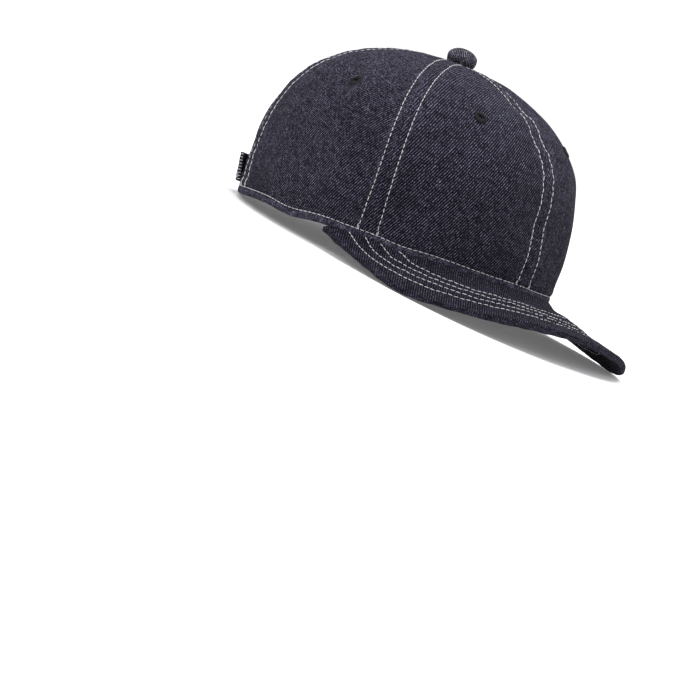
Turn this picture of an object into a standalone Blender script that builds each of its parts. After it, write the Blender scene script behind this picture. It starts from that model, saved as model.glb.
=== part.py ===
"""Six-panel cap: six cloth panels with sewn eyelets, a covered top button, a padded
brim, and a back strap with a metal slide over a half-moon opening.

Metres, +Z up, the front towards -Y and the wearer's right towards -X. The cap is drawn
with its rim flat in z = 0. At the end it is tipped back until it rests on the brim's
sides and the back of the rim, with the origin under the middle of its box.
"""

import bmesh
import bpy
from math import asin, atan2, cos, degrees, pi, radians, sin
from mathutils import Matrix, Vector

# Crown: half lengths at the rim from the crown's upright axis, and the height.
FRONT_REACH = 0.0940
BACK_REACH = 0.0975
SIDE_REACH = 0.0857
CROWN_HEIGHT = 0.1095
TOP_HOLE_RADIUS = 0.0036

# Profile of the crown along each half axis. The reach at a rise r from the rim is
# reach * cos(r)**power * (1 + belly*sin(2r) + shoulder*sin(4r)).
#          reach         power  belly  shoulder
PROFILES = {
    "front": (FRONT_REACH, 0.951, 0.154, -0.041),
    "side": (SIDE_REACH, 0.828, 0.213, -0.057),
    "back": (BACK_REACH, 0.658, 0.049, 0.027),
}

# Cloth and seams.
CLOTH = 0.0015
HEM_THICKNESS = 0.0030
HEM_DEPTH = 0.0065
HEM_STEP = 0.0015
SEAM_GAP = 0.0005
CLEARANCE = 0.0003

# Panels on the wearer's right, mirrored to the left: start and end angle round the
# crown from the front, and the eyelet's angle and height.
#          from    to      eyelet
PANELS = {
    "front": (0.0, 62.7, 33.5, 0.0835),
    "side": (62.7, 128.7, 91.2, 0.0798),
    "back": (128.7, 180.0, 151.0, 0.0815),
}
PANEL_COLUMNS = 9
PANEL_ROWS = 12

EYELET_DIAMETER = 0.0075
EYELET_HOLE = 0.0022
EYELET_THICKNESS = 0.0021
EYELET_STEPS = 14

BUTTON_DIAMETER = 0.0172
BUTTON_HEIGHT = 0.0090
BUTTON_SHANK = 0.0030
BUTTON_WALL_SHARE = 0.35
BUTTON_FOOT_SHARE = 0.95
BUTTON_STEPS = 24

# Brim: its greatest width from the rim, the drop of its edge, and sections round the
# rim as shares of the corner's angle, of the width and of the drop.
BRIM_WIDTH = 0.0585
BRIM_DROP = 0.0175
BRIM_CORNER = 82.0
BRIM_THICKNESS = 0.0038
BRIM_EDGE_ROUNDING = 0.0014
BRIM_TUCK = 0.0024
BRIM_SLOPE_EXPONENT = 1.15
BRIM_COLUMNS = 40
BRIM_ROWS = 5
#                angle  width  drop
BRIM_SECTIONS = (
    (0.000, 1.000, 0.69),
    (0.183, 1.010, 0.77),
    (0.366, 0.915, 0.95),
    (0.549, 0.660, 1.00),
    (0.695, 0.400, 0.66),
    (0.793, 0.250, 0.39),
    (0.878, 0.128, 0.20),
    (0.951, 0.040, 0.06),
    (1.000, 0.000, 0.00),
)

# Back opening, an upright half ellipse, and the strap across it.
OPENING_HALF_WIDTH = 0.0375
OPENING_HEIGHT = 0.0480
STRAP_BOTTOM = 0.0066
STRAP_WIDTH = 0.0160
STRAP_THICKNESS = 0.0026
STRAP_FREE_END = 143.4
STRAP_SEWN_END = 217.0
STRAP_COLUMNS = 20

SLIDE_ANGLE = 166.0
SLIDE_WIRE = 0.0018
SLIDE_CORNER = 0.0015

DENIM_COLOUR = (0.045, 0.043, 0.062)
EYELET_COLOUR = (0.012, 0.012, 0.016)
METAL_COLOUR = (0.42, 0.36, 0.25)


def clear_scene():
    for old in list(bpy.data.objects):
        bpy.data.objects.remove(old)


def collection(name):
    made = bpy.data.collections.new(name)
    bpy.context.scene.collection.children.link(made)
    return made


def material(name, colour, roughness, metallic=0.0):
    made = bpy.data.materials.new(name)
    made.use_nodes = True
    shader = made.node_tree.nodes["Principled BSDF"]
    shader.inputs["Base Color"].default_value = (*colour, 1.0)
    shader.inputs["Roughness"].default_value = roughness
    shader.inputs["Metallic"].default_value = metallic
    return made


def reach(profile, rise):
    base, power, belly, shoulder = PROFILES[profile]
    bulge = 1.0 + belly * sin(2 * rise) + shoulder * sin(4 * rise)
    return base * max(cos(rise), 0.0) ** power * bulge


def crown_point(rise, turn):
    """Point on the crown's outer face. Both angles are in radians: rise from the rim
    to the top, turn from the front towards the wearer's right."""
    along = reach("front" if cos(turn) > 0 else "back", rise)
    return Vector((
        -reach("side", rise) * sin(turn),
        -along * cos(turn),
        CROWN_HEIGHT * sin(rise),
    ))


def crown_normal(rise, turn, step=0.002):
    up = crown_point(rise + step, turn) - crown_point(rise - step, turn)
    round_rim = crown_point(rise, turn + step) - crown_point(rise, turn - step)
    return up.cross(round_rim).normalized()


def rise_at_height(height):
    return asin(height / CROWN_HEIGHT)


def rise_at_radius(radius, turn):
    """Rise at which the crown closes to a radius about its axis, found by halving."""
    low, high = radians(45), pi / 2
    for _ in range(40):
        middle = (low + high) / 2
        if crown_point(middle, turn).xy.length > radius:
            low = middle
        else:
            high = middle
    return (low + high) / 2


def rim_direction(turn):
    """Flat direction away from the rim, square to it."""
    step = 0.002
    along = crown_point(0, turn + step) - crown_point(0, turn - step)
    return Vector((-along.y, along.x, 0)).normalized()


def grid_mesh(name, columns, rows, place):
    """Grid of columns by rows faces, each vertex moved to place(across, along), both
    from 0 to 1."""
    bm = bmesh.new()
    bmesh.ops.create_grid(bm, x_segments=columns, y_segments=rows, size=0.5)
    for vertex in bm.verts:
        vertex.co = place(vertex.co.x + 0.5, vertex.co.y + 0.5)
    mesh = bpy.data.meshes.new(name)
    bm.to_mesh(mesh)
    bm.free()
    mesh.shade_smooth()
    return mesh


def add_object(name, mesh, holder, finish):
    made = bpy.data.objects.new(name, mesh)
    if finish:
        mesh.materials.append(finish)
    holder.objects.link(made)
    return made


def add_cutter(name, mesh, holder):
    made = add_object(name, mesh, holder, None)
    made.hide_render = True
    made.display_type = "WIRE"
    return made


def cut(target, cutter):
    modifier = target.modifiers.new(cutter.name, "BOOLEAN")
    modifier.operation = "DIFFERENCE"
    modifier.solver = "EXACT"
    modifier.object = cutter


def solidify(target, thickness, offset):
    modifier = target.modifiers.new("Thickness", "SOLIDIFY")
    modifier.thickness = thickness
    modifier.offset = offset
    return modifier


def round_edges(target, width, segments):
    modifier = target.modifiers.new("Rounding", "BEVEL")
    modifier.width = width
    modifier.segments = segments
    modifier.limit_method = "ANGLE"
    modifier.angle_limit = radians(50)


def cylinder_mesh(name, radius, depth, segments):
    bm = bmesh.new()
    bmesh.ops.create_cone(
        bm, cap_ends=True, segments=segments, radius1=radius, radius2=radius, depth=depth)
    mesh = bpy.data.meshes.new(name)
    bm.to_mesh(mesh)
    bm.free()
    return mesh


def turned(name, profile, closed, steps, holder, finish):
    """Body turned about Z from (radius, height) points that run down the outer side."""
    mesh = bpy.data.meshes.new(name)
    points = [(radius, 0, height) for radius, height in profile]
    edges = [(i, i + 1) for i in range(len(points) - 1)]
    if closed:
        edges.append((len(points) - 1, 0))
    mesh.from_pydata(points, edges, [])
    made = add_object(name, mesh, holder, finish)
    modifier = made.modifiers.new("Turn", "SCREW")
    modifier.steps = steps
    modifier.render_steps = steps
    modifier.use_merge_vertices = True
    modifier.merge_threshold = 0.00001
    modifier.use_normal_calculate = False
    return made


def onto_surface(point, outward):
    """Matrix that sets an object's Z along outward at a point."""
    turn = outward.to_track_quat("Z", "Y").to_matrix().to_4x4()
    return Matrix.Translation(point) @ turn


def panel_rows(top):
    """Rise of each row of a panel: two for the hem, one where it thins, then even."""
    hem = rise_at_height(HEM_DEPTH)
    body = rise_at_height(HEM_DEPTH + HEM_STEP)
    count = PANEL_ROWS - 2
    return [0.0, hem] + [body + (top - body) * i / count for i in range(count + 1)]


def panel_point(start, end, across, along):
    """Point of a panel's outer face, kept half a seam gap inside both seams. Columns
    run from the end angle back to the start, so that the faces point out."""
    turn = end + (start - end) * across
    row = round(along * PANEL_ROWS)
    rise = panel_rows(rise_at_radius(TOP_HOLE_RADIUS, turn))[row]
    step = 0.002
    per_radian = (crown_point(rise, turn + step) - crown_point(rise, turn - step)).length
    inset = SEAM_GAP / 2 / (per_radian / (2 * step))
    return crown_point(rise, turn + inset * (2 * across - 1))


def make_panel(name, start, end, holder, finish):
    mesh = grid_mesh(
        name, PANEL_COLUMNS, PANEL_ROWS,
        lambda across, along: panel_point(start, end, across, along))
    panel = add_object(name, mesh, holder, finish)
    hem = panel.vertex_groups.new(name="hem")
    hem_top = HEM_DEPTH + HEM_STEP / 2
    hem.add([v.index for v in mesh.vertices if v.co.z < hem_top], 1.0, "REPLACE")
    thickness = solidify(panel, HEM_THICKNESS, -1.0)
    thickness.vertex_group = hem.name
    thickness.thickness_vertex_group = CLOTH / HEM_THICKNESS
    return panel


def make_eyelet(name, turn, height, holder, cutters, panel, finish):
    rise = rise_at_height(height)
    outward = crown_normal(rise, turn)
    centre = crown_point(rise, turn) - outward * CLOTH / 2
    outer, inner = EYELET_DIAMETER / 2, EYELET_HOLE / 2
    half, edge = EYELET_THICKNESS / 2, EYELET_THICKNESS / 4
    profile = [
        (outer - edge, half), (outer, half - edge), (outer, edge - half),
        (outer - edge, -half), (inner + edge, -half), (inner, edge - half),
        (inner, half - edge), (inner + edge, half),
    ]
    ring = turned(name, profile, True, EYELET_STEPS, holder, finish)
    ring.matrix_world = onto_surface(centre, outward)
    hole = cylinder_mesh(name + "_hole", outer + CLEARANCE, CLOTH * 8, EYELET_STEPS * 2)
    cutter = add_cutter(name + "_hole", hole, cutters)
    cutter.matrix_world = ring.matrix_world
    cut(panel, cutter)


def make_button(holder, finish):
    """Domed cap over the panels' tips, with a plain shank through their hole."""
    radius = BUTTON_DIAMETER / 2
    seat = CROWN_HEIGHT + CLEARANCE
    shank = TOP_HOLE_RADIUS - CLEARANCE
    arcs = 6
    profile = [(0.0, seat + BUTTON_HEIGHT)]
    for i in range(1, arcs + 1):
        angle = pi / 2 * i / arcs
        lift = BUTTON_WALL_SHARE + (1 - BUTTON_WALL_SHARE) * cos(angle)
        profile.append((radius * sin(angle), seat + BUTTON_HEIGHT * lift))
    profile += [
        (radius * BUTTON_FOOT_SHARE, seat),
        (shank, seat),
        (shank, seat - BUTTON_SHANK),
        (0.0, seat - BUTTON_SHANK),
    ]
    return turned("top_button", profile, False, BUTTON_STEPS, holder, finish)


def section_value(column, share):
    """Value of a brim section's column at a share of the corner angle, on a smooth
    curve through the table's rows."""
    rows = BRIM_SECTIONS
    i = max(k for k in range(len(rows) - 1) if rows[k][0] <= share or k == 0)

    def slope(k):
        below, above = max(k - 1, 0), min(k + 1, len(rows) - 1)
        if k == 0:
            return 0.0
        return (rows[above][column] - rows[below][column]) / (rows[above][0] - rows[below][0])

    span = rows[i + 1][0] - rows[i][0]
    t = (share - rows[i][0]) / span
    return (
        (2 * t**3 - 3 * t**2 + 1) * rows[i][column]
        + (t**3 - 2 * t**2 + t) * span * slope(i)
        + (3 * t**2 - 2 * t**3) * rows[i + 1][column]
        + (t**3 - t**2) * span * slope(i + 1)
    )


def brim_point(share, across):
    """Point of the brim's upper face: share of the corner angle, from -1 on the left to
    1 on the right, and across from the tucked inner edge at 0 to the outer edge at 1."""
    turn = radians(BRIM_CORNER) * share
    width = BRIM_WIDTH * section_value(1, abs(share))
    drop = BRIM_DROP * section_value(2, abs(share))
    start = crown_point(0, turn) - rim_direction(turn) * BRIM_TUCK
    out = (width + BRIM_TUCK) * across
    past_rim = max(out - BRIM_TUCK, 0.0) / max(width, CLEARANCE)
    point = start + rim_direction(turn) * out
    point.z = -CLEARANCE - drop * past_rim**BRIM_SLOPE_EXPONENT
    return point


def make_brim(holder, finish):
    last = BRIM_SECTIONS[-2][0]
    tuck_share = BRIM_TUCK / (BRIM_TUCK + BRIM_WIDTH)

    def place(along, across):
        row = round(across * BRIM_ROWS)
        past = 0.0 if row == 0 else tuck_share + (1 - tuck_share) * (row - 1) / (BRIM_ROWS - 1)
        return brim_point(last * (2 * along - 1), past)

    mesh = grid_mesh("brim", BRIM_COLUMNS, BRIM_ROWS, place)
    brim = add_object("brim", mesh, holder, finish)
    solidify(brim, BRIM_THICKNESS, -1.0)
    round_edges(brim, BRIM_EDGE_ROUNDING, 2)
    return brim


def cut_back_opening(panels, cutters):
    """Half ellipse through both back panels, centred on the back of the rim."""
    depth = BACK_REACH
    mesh = cylinder_mesh("back_opening", 1.0, depth, 48)
    cutter = add_cutter("back_opening", mesh, cutters)
    stretch = Matrix.Diagonal((OPENING_HALF_WIDTH, OPENING_HEIGHT, 1.0, 1.0))
    mesh.transform(stretch)
    mesh.transform(Matrix.Rotation(pi / 2, 4, "X"))
    cutter.location = (0, BACK_REACH, 0)
    for panel in panels:
        cut(panel, cutter)


def strap_point(across, along):
    turn = radians(STRAP_SEWN_END + (STRAP_FREE_END - STRAP_SEWN_END) * across)
    rise = rise_at_height(STRAP_BOTTOM + STRAP_WIDTH * along)
    return crown_point(rise, turn) + crown_normal(rise, turn) * CLEARANCE


def make_strap(holder, finish):
    strap = add_object(
        "back_strap", grid_mesh("back_strap", STRAP_COLUMNS, 2, strap_point), holder, finish)
    solidify(strap, STRAP_THICKNESS, 1.0)
    return strap


def make_slide(holder, finish):
    """Wire loop round the strap, just inside the opening on the wearer's right."""
    turn = radians(SLIDE_ANGLE)
    rise = rise_at_height(STRAP_BOTTOM + STRAP_WIDTH / 2)
    outward = crown_normal(rise, turn)
    upward = Vector((0, 0, 1))
    upward = (upward - outward * upward.dot(outward)).normalized()
    centre = crown_point(rise, turn) + outward * (CLEARANCE + STRAP_THICKNESS / 2)
    room = SLIDE_WIRE / 2 + 2 * CLEARANCE
    tall, deep = STRAP_WIDTH / 2 + room, STRAP_THICKNESS / 2 + room + CLEARANCE
    corner = SLIDE_CORNER
    outline = [
        (tall - corner, deep), (tall, deep - corner), (tall, corner - deep),
        (tall - corner, -deep), (corner - tall, -deep), (-tall, corner - deep),
        (-tall, deep - corner), (corner - tall, deep),
    ]
    curve = bpy.data.curves.new("strap_slide", "CURVE")
    curve.dimensions = "3D"
    curve.bevel_depth = SLIDE_WIRE / 2
    curve.bevel_resolution = 2
    spline = curve.splines.new("POLY")
    spline.points.add(len(outline) - 1)
    spline.use_cyclic_u = True
    for point, (up, out) in zip(spline.points, outline):
        point.co = (*(centre + upward * up + outward * out), 1.0)
    curve.materials.append(finish)
    slide = bpy.data.objects.new("strap_slide", curve)
    holder.objects.link(slide)
    return slide


def lowest_line(points):
    """Tilt in radians, about X, of the line under the side view that touches one point
    before the crown's axis and one behind it."""
    tilt = 0.0
    for _ in range(12):
        turned_points = [(y * cos(tilt) - z * sin(tilt), y * sin(tilt) + z * cos(tilt), y)
                         for y, z in points]
        front = min((p for p in turned_points if p[2] < 0), key=lambda p: p[1])
        back = min((p for p in turned_points if p[2] > 0), key=lambda p: p[1])
        tilt -= atan2(back[1] - front[1], back[0] - front[0])
    return tilt


def rest_on_floor(parts, cutters):
    """Parent everything to an empty, tip it back until the parts rest on the brim and
    the rim, and centre their box over the origin."""
    frame = bpy.data.objects.new("cap_frame", None)
    bpy.context.scene.collection.objects.link(frame)
    bpy.context.view_layer.update()
    graph = bpy.context.evaluated_depsgraph_get()
    corners = []
    for part in parts:
        evaluated = part.evaluated_get(graph)
        mesh = evaluated.to_mesh()
        corners += [part.matrix_world @ v.co for v in mesh.vertices]
        evaluated.to_mesh_clear()
    tilt = lowest_line([(c.y, c.z) for c in corners])
    tip = Matrix.Rotation(tilt, 4, "X")
    tipped = [tip @ c for c in corners]
    low = Vector([min(c[i] for c in tipped) for i in range(3)])
    high = Vector([max(c[i] for c in tipped) for i in range(3)])
    middle = (low + high) / 2
    for held in parts + cutters:
        held.parent = frame
    frame.matrix_world = Matrix.Translation((-middle.x, -middle.y, -low.z)) @ tip
    print("tilt", round(degrees(tilt), 3))
    print("shift", [round(1000 * v, 3) for v in (-middle.x, -middle.y, -low.z)])


def main():
    clear_scene()
    cap = collection("six_panel_cap")
    cutters = collection("cutters")
    denim = material("denim", DENIM_COLOUR, 0.9)
    thread = material("eyelet_thread", EYELET_COLOUR, 0.85)
    metal = material("slide_metal", METAL_COLOUR, 0.35, 1.0)

    back_panels = []
    for place, (start, end, eyelet, height) in PANELS.items():
        for side, sign in (("right", 1), ("left", -1)):
            first, last = sorted((radians(sign * start), radians(sign * end)))
            panel = make_panel(f"panel_{place}_{side}", first, last, cap, denim)
            make_eyelet(
                f"eyelet_{place}_{side}", radians(sign * eyelet), height,
                cap, cutters, panel, thread)
            if place == "back":
                back_panels.append(panel)
    cut_back_opening(back_panels, cutters)
    make_button(cap, denim)
    make_brim(cap, denim)
    make_strap(cap, denim)
    make_slide(cap, metal)
    rest_on_floor(list(cap.objects), list(cutters.objects))


main()
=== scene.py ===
# %% [markdown]
# # A six-panel cap in indigo denim
# This notebook dresses the plain solids of a cap: six denim panels, the stitched seams
# between them, six sewn eyelets, a covered button, a padded brim and an adjuster strap.
# The cap is drawn with its rim flat in the XY plane, the front towards -Y and the
# wearer's right towards -X. Each finished mesh is then tipped back to the pose in which
# the cap rests on a table.

from math import asin, cos, pi, radians, sin, tau

import bpy
import numpy as np
from mathutils import Matrix, Vector


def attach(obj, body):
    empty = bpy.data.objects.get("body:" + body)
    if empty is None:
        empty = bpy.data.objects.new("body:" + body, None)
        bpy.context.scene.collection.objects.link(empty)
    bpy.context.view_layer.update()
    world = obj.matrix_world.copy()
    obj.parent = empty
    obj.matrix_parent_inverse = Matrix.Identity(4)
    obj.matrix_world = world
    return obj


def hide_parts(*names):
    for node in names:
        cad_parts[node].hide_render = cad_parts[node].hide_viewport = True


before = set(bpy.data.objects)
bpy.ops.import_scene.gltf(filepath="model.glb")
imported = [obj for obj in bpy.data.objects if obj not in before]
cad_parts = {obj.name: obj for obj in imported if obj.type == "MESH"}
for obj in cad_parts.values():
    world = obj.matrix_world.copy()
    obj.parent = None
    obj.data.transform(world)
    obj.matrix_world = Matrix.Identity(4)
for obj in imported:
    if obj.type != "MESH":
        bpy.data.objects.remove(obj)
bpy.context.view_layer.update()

# %% [markdown]
# ## The shape of the crown
# A crown is a stiffened dome. Its reach at a rise r above the rim is a cosine to some
# power, with two sine terms for the belly and the shoulder. The front, the side and the
# back have their own numbers, and the dome is an ellipse between them. One formula for
# the whole crown keeps the panels, seams, eyelets and stitches on the same surface.

# %% Measures of the crown, in metres
FRONT_REACH = 0.0940
SIDE_REACH = 0.0857
BACK_REACH = 0.0975
CROWN_HEIGHT = 0.1095
TOP_HOLE = 0.0036
PROFILES = {
    "front": (FRONT_REACH, 0.951, 0.154, -0.041),
    "side": (SIDE_REACH, 0.828, 0.213, -0.057),
    "back": (BACK_REACH, 0.658, 0.049, 0.027),
}
FIRST_SEAM, SECOND_SEAM = 62.7, 128.7
PANELS = {
    "front": (0.0, FIRST_SEAM), "side": (FIRST_SEAM, SECOND_SEAM), "back": (SECOND_SEAM, 180.0)}
SEAMS = tuple(radians(a) for a in (
    0.0, FIRST_SEAM, SECOND_SEAM, 180.0, -SECOND_SEAM, -FIRST_SEAM))
BACK_SEAM = 3
REST = Matrix.Translation((0, 0.024064, 0.010243)) @ Matrix.Rotation(radians(-6.719), 4, "X")


def reach(profile, rise):
    base, power, belly, shoulder = PROFILES[profile]
    bulge = 1 + belly * np.sin(2 * rise) + shoulder * np.sin(4 * rise)
    return base * np.maximum(np.cos(rise), 0) ** power * bulge


def crown_point(rise, turn):
    """Points on the smooth crown: rise from the rim to the top, turn from the front
    towards the wearer's right, both in radians."""
    rise, turn = np.broadcast_arrays(np.asarray(rise, float), np.asarray(turn, float))
    along = np.where(np.cos(turn) > 0, reach("front", rise), reach("back", rise))
    side = reach("side", rise)
    return np.stack(
        [-side * np.sin(turn), -along * np.cos(turn), CROWN_HEIGHT * np.sin(rise)], -1)


def unit(vectors):
    return vectors / np.maximum(np.linalg.norm(vectors, axis=-1, keepdims=True), 1e-12)


def crown_axes(rise, turn, step=0.002):
    """Unit directions on the crown: round it, up it and out of it."""
    around = crown_point(rise, turn + step) - crown_point(rise, turn - step)
    up = crown_point(rise + step, turn) - crown_point(rise - step, turn)
    return unit(around), unit(up), unit(np.cross(up, around))


def turn_speed(rise, turn, step=0.002):
    """Metres along the crown for each radian of turn."""
    ends = crown_point(rise, turn + step) - crown_point(rise, turn - step)
    return np.maximum(np.linalg.norm(ends, axis=-1) / (2 * step), 1e-4)


def rise_at(height):
    return asin(height / CROWN_HEIGHT)


def running_length(points):
    """Length run so far at each point, down the first axis."""
    steps = np.linalg.norm(np.diff(points, axis=0), axis=-1)
    return np.concatenate([np.zeros((1, *steps.shape[1:])), np.cumsum(steps, axis=0)])


rim = crown_point(0.0, np.linspace(0, tau, 721))
print("rim length", round(float(running_length(rim)[-1]), 4))

# %% [markdown]
# ## Small helpers
# Cloth is never perfectly smooth, so a sum of a few cosines in seeded random directions
# gives gentle, repeatable waves. Every sheet starts as Blender's grid primitive, whose
# vertices are then moved by code: a grid keeps rows and columns in order, which suits
# cloth, and its UV map can hold the real place in the flat cloth in metres.

# %% Waves and places
CLOTH = 0.0012
WELD = 0.000002


def ripples(x, y, length, seed, count=7):
    """Smooth random waves between about -1 and 1, with the given wave length."""
    rng = np.random.default_rng(seed)
    total = 0.0
    for _ in range(count):
        angle, phase, stretch = rng.uniform(0, tau), rng.uniform(0, tau), rng.uniform(0.7, 1.5)
        wave = (x * cos(angle) + y * sin(angle)) * tau / (length * stretch)
        total = total + np.cos(wave + phase)
    return total / (count / 2) ** 0.5 / 1.4


def smooth_step(low, high, values):
    t = np.clip((values - low) / (high - low), 0, 1)
    return t * t * (3 - 2 * t)


def hump(values, centre, width):
    return np.exp(-(((values - centre) / width) ** 2))


def to_rest(points):
    """Points of the flat-rimmed drawing, tipped back to the pose on the table."""
    matrix = np.array(REST)
    return points @ matrix[:3, :3].T + matrix[:3, 3]


print("ripples 1 cm apart:", np.round(ripples(np.arange(4) * 0.01, 0.0, 0.02, 1), 2))


# %% Meshes
def deselect():
    for other in bpy.context.selected_objects:
        other.select_set(False)


def select_only(piece):
    deselect()
    bpy.context.view_layer.objects.active = piece
    piece.select_set(True)


def name_piece(piece, name, *materials):
    piece.name = name
    piece.data.name = name
    piece.data.materials.clear()
    for finish in materials:
        piece.data.materials.append(finish)
    return piece


def vertex_places(mesh):
    flat = np.empty(len(mesh.vertices) * 3, np.float32)
    mesh.vertices.foreach_get("co", flat)
    return flat.reshape(-1, 3).astype(float)


def move_vertices(mesh, points):
    mesh.vertices.foreach_set("co", to_rest(points).astype(np.float32).ravel())


def set_uv(mesh, uv):
    layer = mesh.uv_layers.active or mesh.uv_layers.new(name="Cloth")
    layer.name = "Cloth"
    corner = np.empty(len(mesh.loops), int)
    mesh.loops.foreach_get("vertex_index", corner)
    layer.data.foreach_set("uv", uv[corner].astype(np.float32).ravel())


# The attribute holds the paling of rubbed cloth, painted shade and painted light.
def set_wear_and_shading(mesh, wear_and_shading):
    values = wear_and_shading.astype(np.float32).ravel()
    mesh.attributes.new("wear_and_shading", "FLOAT", "POINT").data.foreach_set("value", values)


def cloth_grid(name, points, uv, wear_and_shading, *materials):
    """Grid primitive with each vertex moved to points[row, column]."""
    rows, columns = points.shape[:2]
    deselect()
    bpy.ops.mesh.primitive_grid_add(x_subdivisions=columns - 1, y_subdivisions=rows - 1, size=1)
    piece = name_piece(bpy.context.object, name, *materials)
    mesh = piece.data
    flat = vertex_places(mesh)
    column = np.rint((flat[:, 0] + 0.5) * (columns - 1)).astype(int)
    row = np.rint((flat[:, 1] + 0.5) * (rows - 1)).astype(int)
    move_vertices(mesh, points[row, column])
    set_uv(mesh, uv[row, column])
    set_wear_and_shading(mesh, wear_and_shading[row, column])
    mesh.shade_smooth()
    mesh.update()
    return piece


def give_thickness(piece, thickness):
    """Second layer under the sheet, its inner side in the piece's second material."""
    select_only(piece)
    modifier = piece.modifiers.new("Solidify", "SOLIDIFY")
    modifier.thickness = thickness
    modifier.offset = -1.0
    modifier.material_offset = 1 if len(piece.data.materials) > 1 else 0
    bpy.ops.object.modifier_apply(modifier=modifier.name)
    piece.data.shade_smooth()


def face_outwards(piece, folded=False):
    """Turns the faces outwards; a folded grid is first welded and its ends closed."""
    select_only(piece)
    bpy.ops.object.mode_set(mode="EDIT")
    if folded:
        bpy.ops.mesh.select_all(action="SELECT")
        bpy.ops.mesh.remove_doubles(threshold=WELD)
        bpy.ops.mesh.select_all(action="DESELECT")
        bpy.ops.mesh.select_mode(type="EDGE")
        bpy.ops.mesh.select_non_manifold(extend=False)
        bpy.ops.mesh.edge_face_add()
    bpy.ops.mesh.select_all(action="SELECT")
    bpy.ops.mesh.normals_make_consistent(inside=False)
    bpy.ops.object.mode_set(mode="OBJECT")


def remove_faces(piece, inside):
    """Deletes the faces whose centre, in the drawing, is inside."""
    select_only(piece)
    mesh = piece.data
    back = REST.inverted()
    for polygon in mesh.polygons:
        polygon.select = bool(inside(back @ polygon.center))
    for other in [*mesh.edges, *mesh.vertices]:
        other.select = False
    bpy.context.tool_settings.mesh_select_mode = (False, False, True)
    bpy.ops.object.mode_set(mode="EDIT")
    bpy.ops.mesh.delete(type="FACE")
    bpy.ops.object.mode_set(mode="OBJECT")


print("cloth", CLOTH, "m thick; folded grids are welded within", WELD, "m")

# %% [markdown]
# ## Denim
# Denim is a twill: each warp thread, dyed indigo, floats over three pale weft threads
# and under one, and each pick moves the pattern one thread sideways, so the pale dots
# line up as diagonals. A node group counts threads with floor and modulo on the cloth's
# own UV map in metres, so the ribs keep their real pitch on every piece. It puts out a
# colour and a height; the shader itself stays in each material. The low parts of the
# weave are painted darker, as shade between the threads. Rubbed edges are paler. The
# same attribute also carries painted shade and light: where it is below zero the cloth
# is painted darker as shade, and where the crown is lit it is painted paler.

# %% Node helpers
THREAD_PITCH = 0.00037
PICK_PITCH = 0.00063
THREAD_SWAY = 0.0006
TWILL_BUMP = 0.00028


def new_group(name, inputs, outputs):
    group = bpy.data.node_groups.new(name, "ShaderNodeTree")
    for title, kind, value in inputs:
        socket = group.interface.new_socket(title, in_out="INPUT", socket_type=kind)
        if value is not None:
            socket.default_value = value
    for title, kind in outputs:
        group.interface.new_socket(title, in_out="OUTPUT", socket_type=kind)
    return group, group.nodes.new("NodeGroupInput"), group.nodes.new("NodeGroupOutput")


class Wires:
    """Adds nodes to a tree, each in one call."""

    def __init__(self, tree):
        self.tree = tree

    def set(self, socket, value):
        if isinstance(value, bpy.types.NodeSocket):
            self.tree.links.new(value, socket)
        else:
            socket.default_value = value

    def fill(self, made, **inputs):
        """Sets or links inputs; their titles have _ for each space here."""
        for title, value in inputs.items():
            self.set(made.inputs[title.replace("_", " ")], value)
        return made

    def node(self, kind, **inputs):
        return self.fill(self.tree.nodes.new(kind), **inputs)

    def math(self, operation, *values, clamp=False):
        made = self.tree.nodes.new("ShaderNodeMath")
        made.operation = operation
        made.use_clamp = clamp
        for socket, value in zip(made.inputs, values):
            self.set(socket, value)
        return made.outputs[0]

    def plus(self, a, b):
        return self.math("ADD", a, b)

    def minus(self, a, b):
        return self.math("SUBTRACT", a, b)

    def times(self, a, b):
        return self.math("MULTIPLY", a, b)

    def mix(self, share, low, high):
        made = self.tree.nodes.new("ShaderNodeMix")
        made.data_type = "RGBA"
        return self.fill(made, Factor=share, A=low, B=high).outputs["Result"]

    def span(self, value, low, high, to_low, to_high):
        made = self.node("ShaderNodeMapRange", Value=value, From_Min=low, From_Max=high,
                         To_Min=to_low, To_Max=to_high)
        return made.outputs["Result"]

    def noise(self, vector, scale, detail=2.0):
        made = self.node("ShaderNodeTexNoise", Vector=vector, Scale=scale, Detail=detail)
        return made.outputs["Fac"]

    def shade(self, colour, amount):
        made = self.tree.nodes.new("ShaderNodeVectorMath")
        made.operation = "SCALE"
        self.set(made.inputs[0], colour)
        self.set(made.inputs["Scale"], amount)
        return made.outputs[0]

    def cloth_place(self):
        made = self.node("ShaderNodeUVMap")
        made.uv_map = "Cloth"
        return made.outputs[0]


print("threads in 1 cm:", round(0.01 / THREAD_PITCH), "picks:", round(0.01 / PICK_PITCH))


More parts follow.
